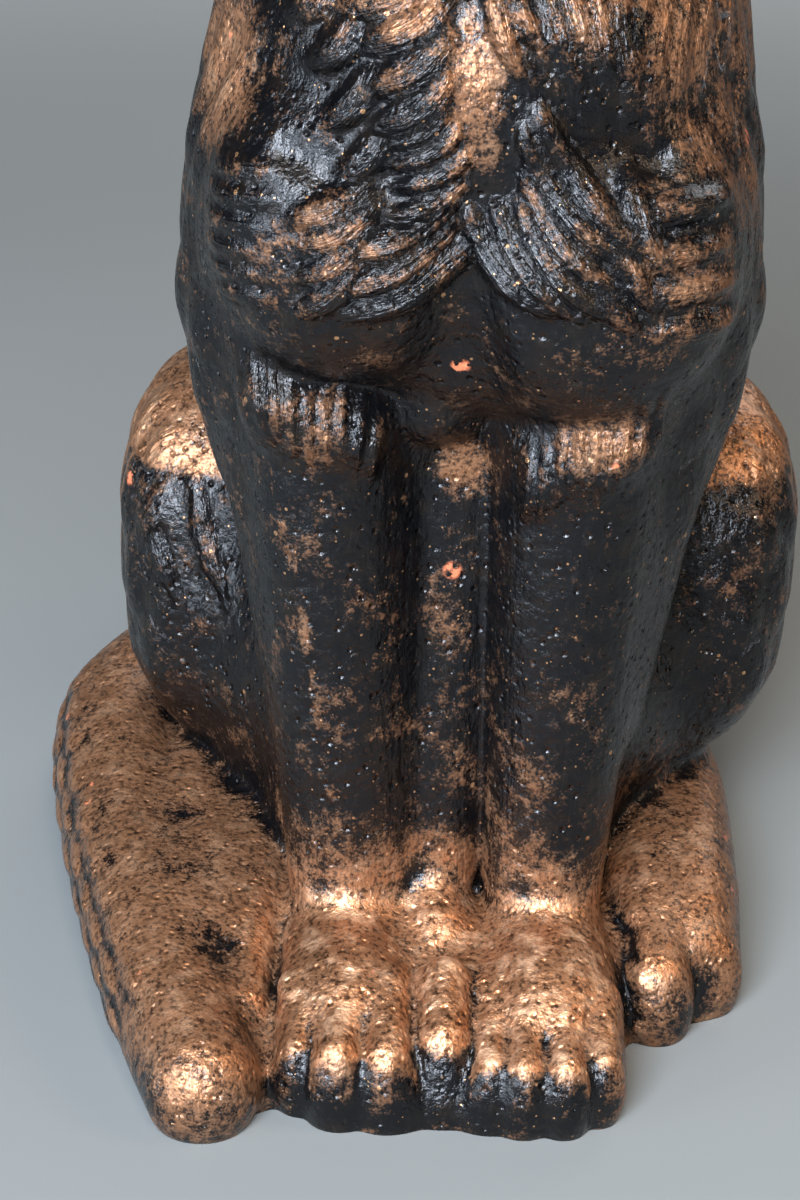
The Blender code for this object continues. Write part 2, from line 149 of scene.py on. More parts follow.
def smooth_path(joints, steps=3):
    """A soft curve through the joints, as more joints."""
    path = np.array(joints, float)
    before = np.vstack([2 * path[0] - path[1], path[:-2]])
    after = np.vstack([path[2:], 2 * path[-1] - path[-2]])
    curve = []
    for a, b, c, d in zip(before, path[:-1], path[1:], after):
        for t in np.arange(steps) / steps:
            bend = (2 * a - 5 * b + 4 * c - d) + t * (3 * b - a - 3 * c + d)
            curve.append(b + t * ((c - a) + t * bend) / 2)
    return [*curve, path[-1]]


def body():
    return [
        Ball((0, 18, 36), (38, 35, 44)),
        Ball((0, 29, 38), (43, 27, 36), boxy=2.3),
        Ball((1, 8, 84), (33, 32, 62), turn=(7, 0, 0)),
        Ball((0, 2, 40), (25, 24, 62), boxy=4),
        Ball((2, 23, 14), (36, 29, 26), boxy=2.5),
        Ball((1.2, -10, 122), (33, 31, 38)),
        Ball((-25, -8, 113), (12.3, 22, 36), turn=(0, 3, 0), soft=9),
        Ball((27.6, -8, 113), (12.3, 22, 36), turn=(0, -2, 0), soft=9),
        Ball((2, -8, 147), (34, 28, 29)),
        Ball((0.5, -3, 167), (26.5, 24, 24), soft=10),
    ]


def chest():
    return [
        Ball((1, -22, 140), (29, 23, 26), soft=5),
        Ball((-14.5, -26, 120.5), (19.5, 20.5, 22.5), soft=4, boxy=2.2),
        Ball((16, -26, 116), (21, 21, 23.5), soft=4, boxy=2.2),
        Bone((-0.5, -43, 96, 9), (-0.3, -46, 115, 4), soft=3, hollow=True),
        Bone((-23, -43, 134, 2), (-12, -48, 131, 3), (-2, -49.5, 130, 2.4), soft=3, hollow=True),
        Bone((5, -48.5, 144, 2.4), (16, -46.5, 139, 3), (24, -40, 133, 2), soft=3, hollow=True),
        Ball((-0.5, -29, 104), (6, 7, 9), soft=3),
        Ball((-3.5, -27, 93), (5.5, 5.5, 5), soft=3),
    ]


def front_legs():
    return [
        Bone((-17.5, -24.5, 90, 11), (-13, -25, 20, 9), soft=2.5),
        Bone((16.8, -24.5, 90, 12), (14.4, -25, 20, 8.6), soft=2.5),
        Bone((-25.5, -13, 104, 11), (-17.5, -18, 45, 8), soft=5),
        Bone((28, -13, 104, 11.5), (20, -18, 45, 8), soft=5),
        Bone((-27, -25, 108, 5), (-23, -31, 95, 6.4), (-15, -30.5, 91, 6), soft=3),
        Bone((26, -25, 99, 6), (20, -31.5, 92, 7), (14, -30.5, 86, 6), soft=3),
        Bone((-6.5, -18, 88, 7), (-4.5, -21.5, 22, 5.8), soft=6),
        Bone((1, -18, 90, 7.4), (-0.8, -24, 20, 5.2), soft=2.5),
        Ball((-0.6, -30, 14.5), (4.6, 8, 5), soft=4),
    ]


# Front toes: place across, how far forward, radius
TOES = (
    (-19.4, -60, 3.3),
    (-13.8, -63.2, 4.3),
    (-7.2, -63.2, 4.3),
    (0.6, -60, 4.8),
    (7.2, -62.6, 3.2),
    (11.9, -64, 3.6),
    (17.4, -64, 3.7),
    (22.3, -61, 3.4),
)
TOE_TALL = 1.9  # height of a toe over its width
HIND_TOE_TALL = 1.6
TOE_LEVEL = 5  # height of the middle of its front end
TOE_ROOT = -46  # how far forward the front toes start
KNUCKLE_LEVEL = 8.8  # height of their middle there


def toe(x, front, radius, back, height, tall=TOE_TALL):
    """A toe from the arch of the paw down to its round front."""
    ends = (x, back, height, radius), (x, front + radius, TOE_LEVEL, radius)
    return Bone(*ends, soft=1, stretch=(1, 1, tall))


def front_paws():
    made = [
        Ball((-12.8, -38, 3), (10.6, 20.5, 15.5), soft=5, boxy=2.4),
        Ball((15, -38, 3), (10.8, 21, 15.5), soft=5, boxy=2.4),
        Ball((1, -37, 2), (9, 19, 12.5), soft=4, boxy=3),
    ]
    made += [toe(x, front, radius, TOE_ROOT, KNUCKLE_LEVEL) for x, front, radius in TOES]
    return made


def haunches():
    return [
        Ball((-31.8, 28, 45.5), (15.8, 25, 30), turn=(-6, -5, -8), soft=4, boxy=2.6),
        Ball((34, 28, 45), (16.3, 25, 29), turn=(-6, 6, 8), soft=4, boxy=2.6),
    ]


def hind_feet():
    return [
        Ball((33.5, 0, 5), (10.5, 34, 14), soft=2.5, boxy=3),
        Ball((-31.5, -6, 5), (11, 38, 13.5), soft=2.5, boxy=3),
        toe(31, -40.5, 5.4, -20, 9, HIND_TOE_TALL),
        toe(38.6, -33, 5, -14, 9, HIND_TOE_TALL),
        toe(-27.2, -51, 5, -26, 9, HIND_TOE_TALL),
    ]


def sole():
    """The metal near the floor that joins the toes, the feet and the haunch."""
    return [
        Ball((1.5, -50, 0), (20.5, 10.3, 5), boxy=3),
        Ball((24, -22, 0), (4.5, 20, 13), soft=2, boxy=2.5),
        Ball((-21.5, -22, 0), (4.5, 16, 15), soft=2, boxy=2.5),
        Ball((-25, -44, 0), (5, 14, 9), soft=2, boxy=2.5),
        Ball((-33, 33, 4), (14, 22, 17), soft=2, boxy=2.5),
        Ball((-38, 5, 4), (6, 22, 15), soft=2, boxy=2.5),
    ]


# The tail, from its root behind, round the left side to its tip: places and radii
TAIL = (
    (12, 34, 38, 12),
    (9, 41, 27, 12),
    (-4, 48, 14, 11.5),
    (-26, 51, 9.6, 11),
    (-42, 47.5, 9.2, 10.8),
    (-48.6, 35, 9, 10.8),
    (-48.8, 20, 8.8, 10.6),
    (-46.6, 3, 8.3, 10.2),
    (-43.2, -15, 7.8, 9.8),
    (-39.4, -33, 7, 9.2),
    (-35.2, -49, 6, 8.7),
    (-32.2, -59.5, 5, 8),
)
TAIL_TALL = 1.12  # height of the tail over its width


def tail():
    return [Bone(*smooth_path(TAIL), soft=3, stretch=(1, 1, TAIL_TALL))]


def ear(side):
    """Two edges that meet at the tip, with a back between them and a hollow in front."""
    tip = (side * 19.8, -8, 219.3, 2.1)
    return [
        Bone((side * 7.5, -13, 200, 4), tip, soft=3),
        Bone((side * 25.5, -10, 191, 4.5), tip, soft=3),
        Bone((side * 16, -6, 198, 10), (side * 19, -6.8, 211, 3.4), soft=3, stretch=(1, 0.5, 1)),
        Bone((side * 16.2, -15.4, 203.5, 3.6), (side * 18.6, -12.4, 211, 1.6), soft=2, hollow=True),
    ]


def eye(side):
    """An almond eye in its socket, with a lid above and below."""
    inner, outer = (side * 4.6, -36, 184.8, 0.8), (side * 16.8, -29.4, 187.6, 0.8)
    upper = inner, (side * 7.5, -36, 190, 1), (side * 12.8, -33.6, 191.2, 1), outer
    lower = inner, (side * 8.5, -36, 182.6, 0.8), (side * 13.6, -33, 183, 0.8), outer
    return [
        Ball((side * 10.6, -37, 187), (7, 3.2, 5.4), turn=(0, side * -8, side * 24), soft=3, hollow=True),
        Ball((side * 10.6, -29.4, 186.8), (6.2, 6.6, 5.2), turn=(0, side * -8, side * 20), soft=0.5),
        Bone(*smooth_path(upper), soft=1),
        Bone(*smooth_path(lower), soft=1),
        Bone((side * 5, -32.5, 194, 2.6), (side * 15, -27.5, 195.5, 3), soft=4),
    ]


def mouth_line(side):
    return Bone((side * 0.3, -44.4, 169.4, 0.8), (side * 8.6, -41.4, 168, 0.8), soft=0.8, hollow=True)


def head():
    return [
        Ball((0, -10, 186), (27, 25, 22)),
        *pair(lambda s: Ball((s * 16.5, -16, 174.5), (14.5, 15, 13), turn=(0, s * 20, 0), soft=6)),
        *pair(lambda s: Ball((s * 5, -37.4, 172.6), (6.6, 6.6, 5.4), soft=3)),
        Ball((0, -35, 166.6), (6.4, 6, 4.2), soft=3),
        Ball((0, -28, 170), (9, 5, 4.6), soft=1),
        Bone((0, -29, 193, 5.4), (0, -40.5, 178.5, 3.6), soft=5),
        Bone((-2.4, -42.6, 178.4, 1.5), (2.4, -42.6, 178.4, 1.5), soft=1.2),
        Bone((-2, -43, 178, 1.2), (0, -43.8, 175.6, 1.1), (2, -43, 178, 1.2), soft=1),
        *eye(-1),
        *eye(1),
        Bone((0, -44.6, 175, 0.6), (0, -44.8, 170.5, 0.6), soft=0.8, hollow=True),
        *pair(mouth_line),
        *ear(-1),
        *ear(1),
    ]


def masses():
    return [
        *body(),
        *chest(),
        *front_legs(),
        *front_paws(),
        *haunches(),
        *hind_feet(),
        *sole(),
        *tail(),
        *head(),
    ]


class View:
    """A side that fur is drawn from: the drawing's two axes, and the way the skin there faces."""

    def __init__(self, axes, facing):
        self.axes = ["xyz".index(axis) for axis in axes]
        self.facing = np.array(facing, float)


FRONT = View("xz", (0, -1, 0))
BACK = View("xz", (0, 1, 0))
LEFT = View("yz", (-1, 0, 0))
RIGHT = View("yz", (1, 0, 0))


# How locks end: the share of a lock's length that it may be shifted by, and how steep its tip is
UNEVEN = 0.12
TIP_SLOPE = 2.6


class Tier:
    """A row of fur locks between a first and a last one, each from root to tip in one view."""

    def __init__(self, view, first, last, count, width, rise, bow=0):
        self.view = view
        self.first = np.array(first, float) * SQUARE
        self.last = np.array(last, float) * SQUARE
        self.count = count
        self.width = width * SQUARE
        self.rise = rise * SQUARE
        self.bow = bow * SQUARE

    def trace(self, points, outward):
        """Each point's height on the locks, and how far it is across and along its own lock."""
        height, across, along = np.zeros((3, len(points)))
        facing = np.clip(outward @ self.view.facing * 2.5 - 0.25, 0, 1)
        drawing = points[:, self.view.axes]
        ends = np.concatenate([self.first, self.last])
        low = ends.min(0) - self.width - abs(self.bow)
        high = ends.max(0) + self.width + abs(self.bow)
        near = np.flatnonzero(((drawing > low) & (drawing < high)).all(1) & (facing > 0))
        for number, share in enumerate(np.linspace(0, 1, self.count)):
            root, tip = self.first + (self.last - self.first) * share
            uneven = UNEVEN * math.sin(5 * number + 3 * self.count) * (tip - root)
            crest, aside, down = self.lock(drawing[near], root + uneven, tip + uneven)
            higher = crest > height[near]
            hit = near[higher]
            height[hit], across[hit], along[hit] = crest[higher], aside[higher], down[higher]
        return height * facing * self.rise, across, along

    def lock(self, drawing, root, tip):
        """1 on the crest of one lock, 0 beside it: it swells from the root and sinks at the tip."""
        length = np.linalg.norm(tip - root)
        way = (tip - root) / length
        local = drawing - root
        down = local @ way
        share = np.clip(down / length, 0, 1)
        aside = local[:, 0] * way[1] - local[:, 1] * way[0] - self.bow * 4 * share * (1 - share)
        half = self.width / 2 * (0.5 + 0.5 * np.sin(math.pi * share**0.8))
        crest = np.clip(1 - np.abs(aside / half) ** 1.6, 0, 1)
        return crest * share**0.5 * np.clip((1 - share) * TIP_SLOPE, 0, 1), aside, down


def fur():
    return [
        Tier(FRONT, ((-5, 159), (-19, 150)), ((-1, 147), (-12, 138)), 4, 6, 2.8, bow=-1.6),
        Tier(FRONT, ((-1.5, 146), (-10.5, 139)), ((-0.5, 131), (-11.5, 126.5)), 5, 4.4, 2.3, bow=-1.5),
        Tier(FRONT, ((-17, 157), (-24, 147)), ((-9, 140), (-16, 131)), 4, 5.6, 2.1, bow=-1),
        Tier(FRONT, ((-12, 131), (-24, 125)), ((-11, 123), (-21, 113.5)), 4, 5.4, 2.1, bow=-1),
        Tier(FRONT, ((0, 129.5), (-16, 122.5)), ((3, 125), (-16, 113)), 3, 6, 3, bow=-2),
        Tier(FRONT, ((2.2, 160), (7.5, 142.5)), ((5, 158), (11, 145)), 2, 3.8, 1.8, bow=1.4),
        Tier(FRONT, ((8, 160), (14.5, 142)), ((17, 160), (22, 140)), 4, 5.6, 1.2, bow=1),
        Tier(FRONT, ((22, 158), (21, 136)), ((36, 156), (31, 131)), 5, 5.2, 0.9, bow=1),
        Tier(FRONT, ((9.5, 140), (26, 120)), ((1.2, 126.5), (14, 112.5)), 6, 5.2, 2.9, bow=2.4),
        Tier(FRONT, ((19, 134), (27, 119)), ((15, 122), (23, 112)), 3, 4.8, 1.8, bow=1),
        Tier(FRONT, ((22, 127), (36, 126.5)), ((22, 112), (36, 110)), 4, 5, 1.8, bow=-0.8),
        Tier(FRONT, ((-24, 131), (-37, 127)), ((-25, 114), (-37, 110)), 6, 4, 0.9, bow=0.6),
        Tier(FRONT, ((-27, 103), (-25, 91)), ((-10, 95.5), (-11, 84.5)), 8, 3, 1.1, bow=0.5),
        Tier(FRONT, ((9.5, 92), (9, 79)), ((26.5, 101), (24.5, 86)), 9, 3, 1.1, bow=-0.5),
        Tier(FRONT, ((-45, 64), (-38, 43)), ((-37, 64), (-30, 42)), 2, 5, 1.2, bow=0.8),
        Tier(FRONT, ((-15, 183), (-29, 179)), ((-8, 167), (-17, 158)), 5, 6, 1.4, bow=-1.4),
        Tier(FRONT, ((15, 183), (29, 179)), ((8, 167), (17, 158)), 5, 6, 1.4, bow=1.4),
        Tier(FRONT, ((-7, 194), (-9, 206)), ((7, 194), (9, 206)), 5, 4, 1),
    ]


def coat():
    """Long plain locks in rows down the back, the sides, the haunches and the tail."""
    rows = []
    for row, top in enumerate(range(176, 60, -12)):
        shift = 4 * (row % 2)
        first = (shift - 34, top), (shift - 36, top - 20)
        last = (shift + 30, top), (shift + 32, top - 20)
        rows.append(Tier(BACK, first, last, 9, 8.6, 1.1))
    for view in (LEFT, RIGHT):
        for row, top in enumerate(range(170, 84, -12)):
            shift = 4 * (row % 2)
            first = (shift - 28, top), (shift - 23, top - 19)
            last = (shift + 14, top + 4), (shift + 20, top - 15)
            rows.append(Tier(view, first, last, 6, 8.6, 1))
        for row, top in enumerate(range(78, 32, -12)):
            shift = 4 * (row % 2)
            first = (shift + 2, top), (shift + 5, top - 17)
            last = (shift + 46, top), (shift + 40, top - 17)
            rows.append(Tier(view, first, last, 6, 8.4, 1))
    for row, level in enumerate((18, 14.5, 11, 7.5)):
        shift = 5 * (row % 2)
        first = (shift + 42, level), (shift + 29, level - 1)
        last = (shift - 40, level - 4), (shift - 52, level - 5)
        rows.append(Tier(LEFT, first, last, 9, 4.6, 0.8))
    return rows


def depth(points, figure):
    """How far points lie outside the melted figure, below 0 inside it."""
    found = np.full(len(points), FAR)
    for mass in figure:
        near = np.flatnonzero(((points > mass.low) & (points < mass.high)).all(1))
        here = found[near]
        other = mass.distance(points[near])
        melt = np.maximum(mass.soft - np.abs(here - other), 0) ** 2 / mass.soft / 4
        if mass.hollow:
            melt = np.maximum(mass.soft - np.abs(here + other), 0) ** 2 / mass.soft / 4
            found[near] = np.maximum(here, -other) + melt
        else:
            found[near] = np.minimum(here, other) - melt
    return found


def slope(points, figure, here):
    """The way out of the figure at each point."""
    step = 0.05 * SQUARE
    out = np.empty_like(points)
    for axis in range(3):
        aside = points.copy()
        aside[:, axis] += step
        out[:, axis] = (depth(aside, figure) - here) / step
    return out


def onto_surface(points, figure):
    here = depth(points, figure)
    way = slope(points, figure, here)
    size = np.maximum((way * way).sum(1), 0.05)
    return points - np.clip(here / size, -LONGEST_STEP, LONGEST_STEP)[:, None] * way


def relax(points, edges, amount=0.5):
    """Each point moved part of the way to the middle of its neighbours."""
    count = np.bincount(edges.ravel(), minlength=len(points))
    total = np.empty_like(points)
    for axis in range(3):
        ends = points[:, axis][edges[:, ::-1]]
        total[:, axis] = np.bincount(edges.ravel(), weights=ends.ravel(), minlength=len(points))
    return points + amount * (total / count[:, None] - points)


def outward_at(points, figure):
    way = slope(points, figure, depth(points, figure))
    return way / np.linalg.norm(way, axis=1)[:, None]


def raise_fur(points, figure):
    """The locks of all the tiers, raised along the way out of the skin."""
    outward = outward_at(points, figure)
    height = np.zeros(len(points))
    for tier in fur() + coat():
        height = np.maximum(height, tier.trace(points, outward)[0])
    return points + outward * height[:, None]


def taken_from(obj):
    """The mesh that an object's modifiers make of it. The object itself is removed."""
    bpy.context.scene.collection.objects.link(obj)
    graph = bpy.context.evaluated_depsgraph_get()
    mesh = bpy.data.meshes.new_from_object(obj.evaluated_get(graph))
    bpy.data.objects.remove(obj)
    return mesh


def fused_skin(figure, voxel):
    """One closed mesh round all the masses."""
    shapes = bmesh.new()
    for mass in figure:
        if not mass.hollow:
            mass.add_to(shapes)
    mesh = bpy.data.meshes.new("masses")
    shapes.to_mesh(mesh)
    shapes.free()
    obj = bpy.data.objects.new("masses", mesh)
    remesh = obj.modifiers.new("fuse", "REMESH")
    remesh.mode = "VOXEL"
    remesh.voxel_size = voxel
    return taken_from(obj)


def thinned_skin(mesh):
    obj = bpy.data.objects.new("skin", mesh)
    thin = obj.modifiers.new("thin out", "DECIMATE")
    thin.ratio = TRIANGLES / sum(len(f.vertices) - 2 for f in mesh.polygons)
    thin.use_collapse_triangulate = True
    return taken_from(obj)


def read_points(mesh):
    points = np.empty(len(mesh.vertices) * 3, np.float32)
    mesh.vertices.foreach_get("co", points)
    return points.reshape(-1, 3).astype(float)


def read_edges(mesh):
    edges = np.empty(len(mesh.edges) * 2, np.int32)
    mesh.edges.foreach_get("vertices", edges)
    return edges.reshape(-1, 2)


def cut_flat(mesh, level):
    """Everything below the level cut away, and the cut closed."""
    shape = bmesh.new()
    shape.from_mesh(mesh)
    geometry = shape.verts[:] + shape.edges[:] + shape.faces[:]
    cut = bmesh.ops.bisect_plane(
        shape, geom=geometry, plane_co=(0, 0, level), plane_no=(0, 0, 1), clear_inner=True
    )
    rim = [e for e in cut["geom_cut"] if isinstance(e, bmesh.types.BMEdge)]
    filled = bmesh.ops.holes_fill(shape, edges=rim, sides=0)
    bmesh.ops.triangulate(shape, faces=filled["faces"])
    bmesh.ops.recalc_face_normals(shape, faces=shape.faces[:])
    if shape.calc_volume(signed=True) < 0:
        bmesh.ops.reverse_faces(shape, faces=shape.faces[:])
    shape.to_mesh(mesh)
    shape.free()


def sculpt():
    """The whole casting, finely carved and flat underneath."""
    figure = masses()
    mesh = fused_skin(figure, SKIN_VOXEL)
    points, edges = read_points(mesh), read_edges(mesh)
    for _ in range(SETTLE_ROUNDS):
        points = onto_surface(relax(points, edges), figure)
    points = raise_fur(points, figure)
    mesh.vertices.foreach_set("co", points.astype(np.float32).ravel())
    cut_flat(mesh, -SPARE_BELOW)
    mesh = thinned_skin(mesh)
    cut_flat(mesh, 0)
    mesh.name = "cast_cat"
    mesh.shade_smooth()
    return mesh


# Where bronze is rubbed on, and one strip of painted highlight down the ridge's crest: (place, radii,
# amount), in squares
BRONZE_AND_HIGHLIGHT_PATCHES = (
    ((30, -22, 146), (13, 30, 22), 0.42),  # right shoulder, up to the neck
    ((33, -12, 122), (8, 26, 20), 0.4),  # down the right side of the chest
    ((-31, -20, 138), (7, 16, 12), 0.6),  # lump on the left shoulder
    ((0, -40, 155), (30, 18, 8), 0.42),  # under the chin
    ((0, -45, 144), (4.5, 10, 18), 0.46),  # the parting down the chest
    ((-14, -45, 121), (15, 10, 6), 0.24),
    ((17, -44, 124), (10, 10, 8), 0.24),
    ((28, -36, 117), (8, 12, 12), 0.42),
    ((19, -36, 93), (8, 9, 6), 0.42),  # elbow tufts
    ((-20, -36, 93), (7, 9, 6), 0.26),
    ((1.5, -26, 84), (5, 8, 6), 0.5),  # top of the ridge between the legs
    ((-2, -22, 54), (4.5, 8, 30), 0.24),  # its crest: painted highlight, bronze laid on to brighten the ridge where light catches it
    ((-1, -30, 16), (6, 9, 6), 0.6),  # foot of that ridge
    ((0, -20, 208), (40, 40, 22), 0.4),  # crown and ears
    ((0, 30, 140), (34, 30, 60), 0.26),  # down the back
)
# A worn line down the left front leg, in squares: its heights, and how far across it is at each
LINE_HEIGHTS = 31, 55, 69, 90
LINE_ACROSS = -15, -18.6, -21.4, -25.2
LINE_BRONZE = 0.4
FEET_TOP = 30  # bronze covers the feet and the tail up to about here, in squares
HAUNCH_EDGE = 64  # above it the haunches are bronze all round, in squares

# How far a point is compared with its smoothed skin: rounds of smoothing, and metres that count as 1
FINE_EDGES = 3, 0.12 * SQUARE
BROAD_EDGES = 14, 0.5 * SQUARE
ALONG_HAIR = 0.22  # the hair's grain runs this much slower along a lock than across it


def smooth_step(low, high, value):
    share = np.clip((value - low) / (high - low), 0, 1)
    return share * share * (3 - 2 * share)


def outward_ways(mesh):
    ways = np.empty(len(mesh.vertices) * 3, np.float32)
    mesh.vertex_normals.foreach_get("vector", ways)
    return ways.reshape(-1, 3).astype(float)


def standing_out(points, edges, ways, rounds, reach):
    """1 on edges that stand out, -1 in hollows: how far a point lies off its smoothed skin."""
    smoothed = points
    for _ in range(rounds):
        smoothed = relax(smoothed, edges, 0.6)
    return np.clip(((points - smoothed) * ways).sum(1) / reach, -1, 1)


def worn_line(points):
    """1 on the thin broken line where the left front leg is rubbed through."""
    x, y, z = points.T / SQUARE
    beside = np.abs(x - np.interp(z, LINE_HEIGHTS, LINE_ACROSS))
    ends = smooth_step(27, 33, z) * smooth_step(92, 86, z)
    breaks = smooth_step(-0.2, 0.7, np.sin(1.4 * z) + 0.5 * np.sin(3.3 * z + 1))
    return ends * breaks * smooth_step(1.4, 0.3, beside) * (y < -20)


def haunch_bronze(points, ways):
    """Bronze on the haunches' tops and sides. Below their edge the fronts stay black."""
    x, y, z = points.T / SQUARE
    there = smooth_step(24, 30, np.abs(x)) * smooth_step(-8, 2, y) * smooth_step(92, 80, z)
    there *= 0.6 + 0.4 * smooth_step(45, 65, z)
    dark_front = smooth_step(0.05, 0.35, -ways[:, 1]) * smooth_step(HAUNCH_EDGE + 2, HAUNCH_EDGE, z)
    return there * (0.62 - 0.52 * dark_front)


def foot_bronze(points, ways, edge):
    """Bronze on the feet and the tail: thick on top, thin in hollows, nearly gone on the toes' fronts."""
    x, y, z = points.T / SQUARE
    up, front = ways[:, 2], -ways[:, 1]
    paws = smooth_step(27, 22, np.abs(x))
    toe_fronts = smooth_step(0.2, 0.8, front) * smooth_step(-52, -57, y) * smooth_step(14, 8, z)
    return 0.26 + 0.3 * paws + 0.27 * up + 0.25 * edge - 0.7 * toe_fronts * paws


def bronze_amount(points, ways, edge):
    """How thickly bronze is rubbed on, from 0 to 1, before its wear. One strip of it is a painted
    highlight down the ridge between the front legs.
    """
    x, _, z = points.T / SQUARE
    between_legs = smooth_step(22, 8, np.abs(x))
    amount = 0.05 + (0.04 + 0.1 * between_legs) * smooth_step(75, 26, z)
    for place, radii, most in BRONZE_AND_HIGHLIGHT_PATCHES:
        away = np.linalg.norm((points / SQUARE - place) / radii, axis=1)
        amount = np.maximum(amount, most * smooth_step(1.35, 0.45, away))
    amount = np.maximum(amount, LINE_BRONZE * worn_line(points))
    amount = np.maximum(amount, haunch_bronze(points, ways))
    feet = smooth_step(FEET_TOP, FEET_TOP - 9, z)
    return np.clip(amount + feet * (foot_bronze(points, ways, edge) - amount), 0, 1)


def hair_ways(points, ways):
    """Where each point is on its lock, across it and along it, and how far it is raised there."""
    grain = points.copy()
    best = np.zeros(len(points))
    for number, tier in enumerate(fur() + coat()):
        height, across, along = tier.trace(points, ways)
        higher = height > best
        best[higher] = height[higher]
        grain[higher, 0] = across[higher]
        grain[higher, 1] = number * tier.width
        grain[higher, 2] = along[higher] * ALONG_HAIR
    return grain, smooth_step(0.05 * SQUARE, 0.9 * SQUARE, best)


def write_attribute(mesh, name, values, kind="FLOAT", field="value"):
    attribute = mesh.attributes.new(name, kind, "POINT")
    attribute.data.foreach_set(field, np.ascontiguousarray(values, np.float32).ravel())


def cast_cat():
    mesh = sculpt()
    points, edges, ways = read_points(mesh), read_edges(mesh), outward_ways(mesh)
    fine = standing_out(points, edges, ways, *FINE_EDGES)
    broad = standing_out(points, edges, ways, *BROAD_EDGES)
    edge = 0.5 * fine + 0.5 * broad
    write_attribute(mesh, "edge", edge)
    write_attribute(mesh, "bronze", bronze_amount(points, ways, edge))
    hair, lock = hair_ways(points, ways)
    write_attribute(mesh, "hair", hair, "FLOAT_VECTOR", "vector")
    write_attribute(mesh, "lock", lock)
    piece = bpy.data.objects.new("cast_cat", mesh)
    bpy.context.scene.collection.objects.link(piece)
    return piece


class Wires:
    """Adds nodes to a tree. Each call gives back the new node's main output."""

    def __init__(self, tree):
        self.tree = tree

    def node(self, kind, **settings):
        node = self.tree.nodes.new(kind)
        for name, value in settings.items():
            setattr(node, name, value)
        return node

    def feed(self, socket, value):
        if isinstance(value, bpy.types.NodeSocket):
            self.tree.links.new(value, socket)
        else:
            socket.default_value = value

    def maths(self, operation, *values):
        node = self.node("ShaderNodeMath", operation=operation)
        for socket, value in zip(node.inputs, values):
            self.feed(socket, value)
        return node.outputs[0]

    def between(self, value, low, high, to_low=0.0, to_high=1.0):
        """The value taken smoothly from one range to another."""
        node = self.node("ShaderNodeMapRange", interpolation_type="SMOOTHSTEP")
        for socket, given in zip(node.inputs, (value, low, high, to_low, to_high)):
            self.feed(socket, given)
        return node.outputs[0]

    def noise(self, place, scale, detail=3.0, roughness=0.55):
        node = self.node("ShaderNodeTexNoise")
        given = {"Vector": place, "Scale": scale, "Detail": detail, "Roughness": roughness}
        for name, value in given.items():
            self.feed(node.inputs[name], value)
        return node.outputs["Fac"]

    def blend(self, share, first, second):
        node = self.node("ShaderNodeMix", data_type="RGBA")
        for name, given in (("Factor", share), ("A", first), ("B", second)):
            socket = next(s for s in node.inputs if s.name == name and s.enabled)
            self.feed(socket, given)
        return next(s for s in node.outputs if s.enabled)

    def attribute(self, name, output="Fac"):
        return self.node("ShaderNodeAttribute", attribute_name=name).outputs[output]

    def use(self, group, **values):
        node = self.node("ShaderNodeGroup", node_tree=group)
        for name, value in values.items():
            self.feed(node.inputs[name.replace("_", " ").title()], value)
        return node.outputs


SOCKETS = {"value": "NodeSocketFloat", "place": "NodeSocketVector"}


def new_group(name, inputs, outputs):
    """An empty shader group with named sockets, its wires, its inputs and its output node."""
    group = bpy.data.node_groups.new(name, "ShaderNodeTree")
    for way, sockets in (("INPUT", inputs), ("OUTPUT", outputs)):
        for title, kind in sockets:
            group.interface.new_socket(title, in_out=way, socket_type=SOCKETS[kind])
    wires = Wires(group)
    return group, wires, wires.node("NodeGroupInput").outputs, wires.node("NodeGroupOutput").inputs


def scattered_specks():
    """Round specks of about one size, on a share of the cells that they are scattered over."""
    inputs = (("Place", "place"), ("Scale", "value"), ("Share", "value"), ("Size", "value"))
    group, wires, given, out = new_group("scattered specks", inputs, (("Mask", "value"),))
    cells = wires.node("ShaderNodeTexVoronoi")
    wires.feed(cells.inputs["Vector"], given["Place"])
    wires.feed(cells.inputs["Scale"], given["Scale"])
    pick = wires.node("ShaderNodeSeparateColor")
    wires.feed(pick.inputs[0], cells.outputs["Color"])
    chosen = wires.maths("LESS_THAN", pick.outputs[0], given["Share"])
    size = wires.maths("MULTIPLY", given["Size"], wires.between(pick.outputs[1], 0.0, 1.0, 0.5, 1.3))
    near = wires.between(cells.outputs["Distance"], size, wires.maths("MULTIPLY", size, 0.55))
    wires.feed(out["Mask"], wires.maths("MULTIPLY", chosen, near))
    return group


def cast_grain():
    """The skin that sand casting leaves: soft lumps, a fine grain and small pits."""
    inputs = (("Place", "place"), ("Scale", "value"), ("Pits", "value"))
    group, wires, given, out = new_group("cast grain", inputs, (("Height", "value"),))
    lumps = wires.noise(given["Place"], wires.maths("MULTIPLY", given["Scale"], 0.3), 2.0)
    grain = wires.noise(given["Place"], given["Scale"], 4.0, 0.65)
    cells = wires.node("ShaderNodeTexVoronoi")
    wires.feed(cells.inputs["Vector"], given["Place"])
    wires.feed(cells.inputs["Scale"], wires.maths("MULTIPLY", given["Scale"], 0.7))
    pits = wires.between(cells.outputs["Distance"], 0.0, 0.32, 1.0, 0.0)
    height = wires.maths("ADD", wires.maths("MULTIPLY", lumps, 0.9), wires.maths("MULTIPLY", grain, 0.5))
    pitted = wires.maths("MULTIPLY", pits, given["Pits"])
    wires.feed(out["Height"], wires.maths("SUBTRACT", height, pitted))
    return group


